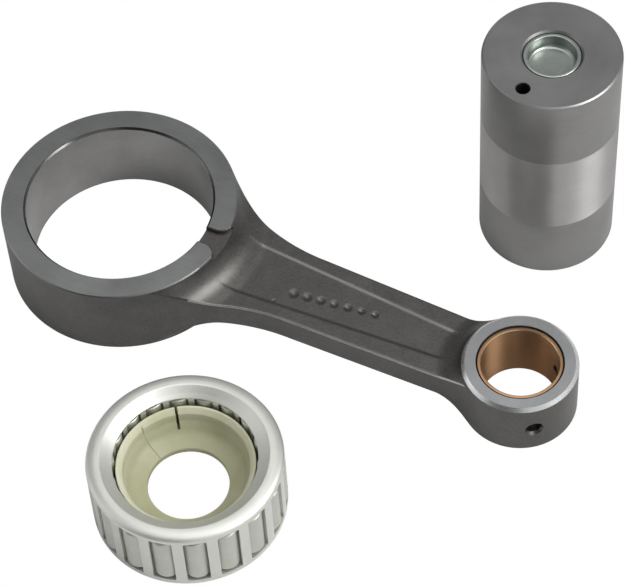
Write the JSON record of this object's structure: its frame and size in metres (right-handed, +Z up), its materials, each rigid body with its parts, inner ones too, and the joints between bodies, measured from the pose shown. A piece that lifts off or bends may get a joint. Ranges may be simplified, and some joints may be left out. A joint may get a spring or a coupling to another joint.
{
  "type": "connecting rod",
  "caption": "Forged engine connecting rod with bushed small end, laid out with its crank pin and its caged roller bearing on a transport sleeve.",
  "frame": {"origin": "centre of the footprint, on the surface that the set lies on", "axes": "+X along the rod from the big end to the small end, +Z up, along the axes of both bores, of the bearing and of the standing crank pin"},
  "size_m": [0.1632, 0.1636, 0.068],
  "materials": {
    "forged_steel": "dark shot-peened forging with ground end faces",
    "bronze": "machined bronze bush",
    "ground_steel": "hardened steel, matt ends and a finely ground running band",
    "zinc_plate": "bright zinc plate",
    "cage_metal": "satin silver plate",
    "roller_steel": "ground bearing steel",
    "sleeve_plastic": "natural cream plastic"
  },
  "bodies": {
    "rod": {"rod_forging": "forged_steel", "small_end_bush": "bronze"},
    "sleeve": {"transport_sleeve": "sleeve_plastic"},
    "cage": {"bearing_cage": "cage_metal"},
    "pin": {"crank_pin": "ground_steel", "pin_plug_top": "zinc_plate", "pin_plug_bottom": "zinc_plate"},
    "roller_01_body": {"roller_01": "roller_steel"},
    "roller_02_body": {"roller_02": "roller_steel"},
    "roller_03_body": {"roller_03": "roller_steel"},
    "roller_04_body": {"roller_04": "roller_steel"},
    "roller_05_body": {"roller_05": "roller_steel"},
    "roller_06_body": {"roller_06": "roller_steel"},
    "roller_07_body": {"roller_07": "roller_steel"},
    "roller_08_body": {"roller_08": "roller_steel"},
    "roller_09_body": {"roller_09": "roller_steel"},
    "roller_10_body": {"roller_10": "roller_steel"},
    "roller_11_body": {"roller_11": "roller_steel"},
    "roller_12_body": {"roller_12": "roller_steel"},
    "roller_13_body": {"roller_13": "roller_steel"},
    "roller_14_body": {"roller_14": "roller_steel"},
    "roller_15_body": {"roller_15": "roller_steel"},
    "roller_16_body": {"roller_16": "roller_steel"},
    "roller_17_body": {"roller_17": "roller_steel"},
    "roller_18_body": {"roller_18": "roller_steel"}
  },
  "joints": [
    {"name": "bearing_carry", "type": "slide", "parent": "rod", "child": "sleeve", "axis": [-0.4662, 0.5404, 0.7004], "range_m": [0, 0.11421]},
    {"name": "cage_spin", "type": "hinge", "parent": "sleeve", "child": "cage", "pos_m": [0.00315, -0.0569, 0.0104], "axis": [0, 0, 1], "continuous": true},
    {"name": "pin_carry", "type": "slide", "parent": "rod", "child": "pin", "axis": [-0.6164, -0.3721, 0.694], "range_m": [0, 0.15851]},
    {"name": "roller_01_spin", "type": "hinge", "parent": "cage", "child": "roller_01_body", "pos_m": [0.0246, -0.0554, 0.0104], "axis": [0, 0, 1], "continuous": true},
    {"name": "roller_02_spin", "type": "hinge", "parent": "cage", "child": "roller_02_body", "pos_m": [0.02279, -0.04816, 0.0104], "axis": [0, 0, 1], "continuous": true},
    {"name": "roller_03_spin", "type": "hinge", "parent": "cage", "child": "roller_03_body", "pos_m": [0.01862, -0.04196, 0.0104], "axis": [0, 0, 1], "continuous": true},
    {"name": "roller_04_spin", "type": "hinge", "parent": "cage", "child": "roller_04_body", "pos_m": [0.01257, -0.03758, 0.0104], "axis": [0, 0, 1], "continuous": true},
    {"name": "roller_05_spin", "type": "hinge", "parent": "cage", "child": "roller_05_body", "pos_m": [0.0054, -0.03552, 0.0104], "axis": [0, 0, 1], "continuous": true},
    {"name": "roller_06_spin", "type": "hinge", "parent": "cage", "child": "roller_06_body", "pos_m": [-0.00205, -0.03604, 0.0104], "axis": [0, 0, 1], "continuous": true},
    {"name": "roller_07_spin", "type": "hinge", "parent": "cage", "child": "roller_07_body", "pos_m": [-0.00887, -0.03908, 0.0104], "axis": [0, 0, 1], "continuous": true},
    {"name": "roller_08_spin", "type": "hinge", "parent": "cage", "child": "roller_08_body", "pos_m": [-0.01424, -0.04426, 0.0104], "axis": [0, 0, 1], "continuous": true},
    {"name": "roller_09_spin", "type": "hinge", "parent": "cage", "child": "roller_09_body", "pos_m": [-0.01752, -0.05097, 0.0104], "axis": [0, 0, 1], "continuous": true},
    {"name": "roller_10_spin", "type": "hinge", "parent": "cage", "child": "roller_10_body", "pos_m": [-0.0183, -0.0584, 0.0104], "axis": [0, 0, 1], "continuous": true},
    {"name": "roller_11_spin", "type": "hinge", "parent": "cage", "child": "roller_11_body", "pos_m": [-0.01649, -0.06564, 0.0104], "axis": [0, 0, 1], "continuous": true},
    {"name": "roller_12_spin", "type": "hinge", "parent": "cage", "child": "roller_12_body", "pos_m": [-0.01232, -0.07184, 0.0104], "axis": [0, 0, 1], "continuous": true},
    {"name": "roller_13_spin", "type": "hinge", "parent": "cage", "child": "roller_13_body", "pos_m": [-0.00628, -0.07622, 0.0104], "axis": [0, 0, 1], "continuous": true},
    {"name": "roller_14_spin", "type": "hinge", "parent": "cage", "child": "roller_14_body", "pos_m": [0.0009, -0.07828, 0.0104], "axis": [0, 0, 1], "continuous": true},
    {"name": "roller_15_spin", "type": "hinge", "parent": "cage", "child": "roller_15_body", "pos_m": [0.00835, -0.07776, 0.0104], "axis": [0, 0, 1], "continuous": true},
    {"name": "roller_16_spin", "type": "hinge", "parent": "cage", "child": "roller_16_body", "pos_m": [0.01517, -0.07472, 0.0104], "axis": [0, 0, 1], "continuous": true},
    {"name": "roller_17_spin", "type": "hinge", "parent": "cage", "child": "roller_17_body", "pos_m": [0.02054, -0.06954, 0.0104], "axis": [0, 0, 1], "continuous": true},
    {"name": "roller_18_spin", "type": "hinge", "parent": "cage", "child": "roller_18_body", "pos_m": [0.02382, -0.06283, 0.0104], "axis": [0, 0, 1], "continuous": true}
  ],
  "couplings": [
    {"joint": "roller_01_spin", "follows": "cage_spin", "ratio": 5.1429},
    {"joint": "roller_02_spin", "follows": "cage_spin", "ratio": 5.1429},
    {"joint": "roller_03_spin", "follows": "cage_spin", "ratio": 5.1429},
    {"joint": "roller_04_spin", "follows": "cage_spin", "ratio": 5.1429},
    {"joint": "roller_05_spin", "follows": "cage_spin", "ratio": 5.1429},
    {"joint": "roller_06_spin", "follows": "cage_spin", "ratio": 5.1429},
    {"joint": "roller_07_spin", "follows": "cage_spin", "ratio": 5.1429},
    {"joint": "roller_08_spin", "follows": "cage_spin", "ratio": 5.1429},
    {"joint": "roller_09_spin", "follows": "cage_spin", "ratio": 5.1429},
    {"joint": "roller_10_spin", "follows": "cage_spin", "ratio": 5.1429},
    {"joint": "roller_11_spin", "follows": "cage_spin", "ratio": 5.1429},
    {"joint": "roller_12_spin", "follows": "cage_spin", "ratio": 5.1429},
    {"joint": "roller_13_spin", "follows": "cage_spin", "ratio": 5.1429},
    {"joint": "roller_14_spin", "follows": "cage_spin", "ratio": 5.1429},
    {"joint": "roller_15_spin", "follows": "cage_spin", "ratio": 5.1429},
    {"joint": "roller_16_spin", "follows": "cage_spin", "ratio": 5.1429},
    {"joint": "roller_17_spin", "follows": "cage_spin", "ratio": 5.1429},
    {"joint": "roller_18_spin", "follows": "cage_spin", "ratio": 5.1429}
  ]
}
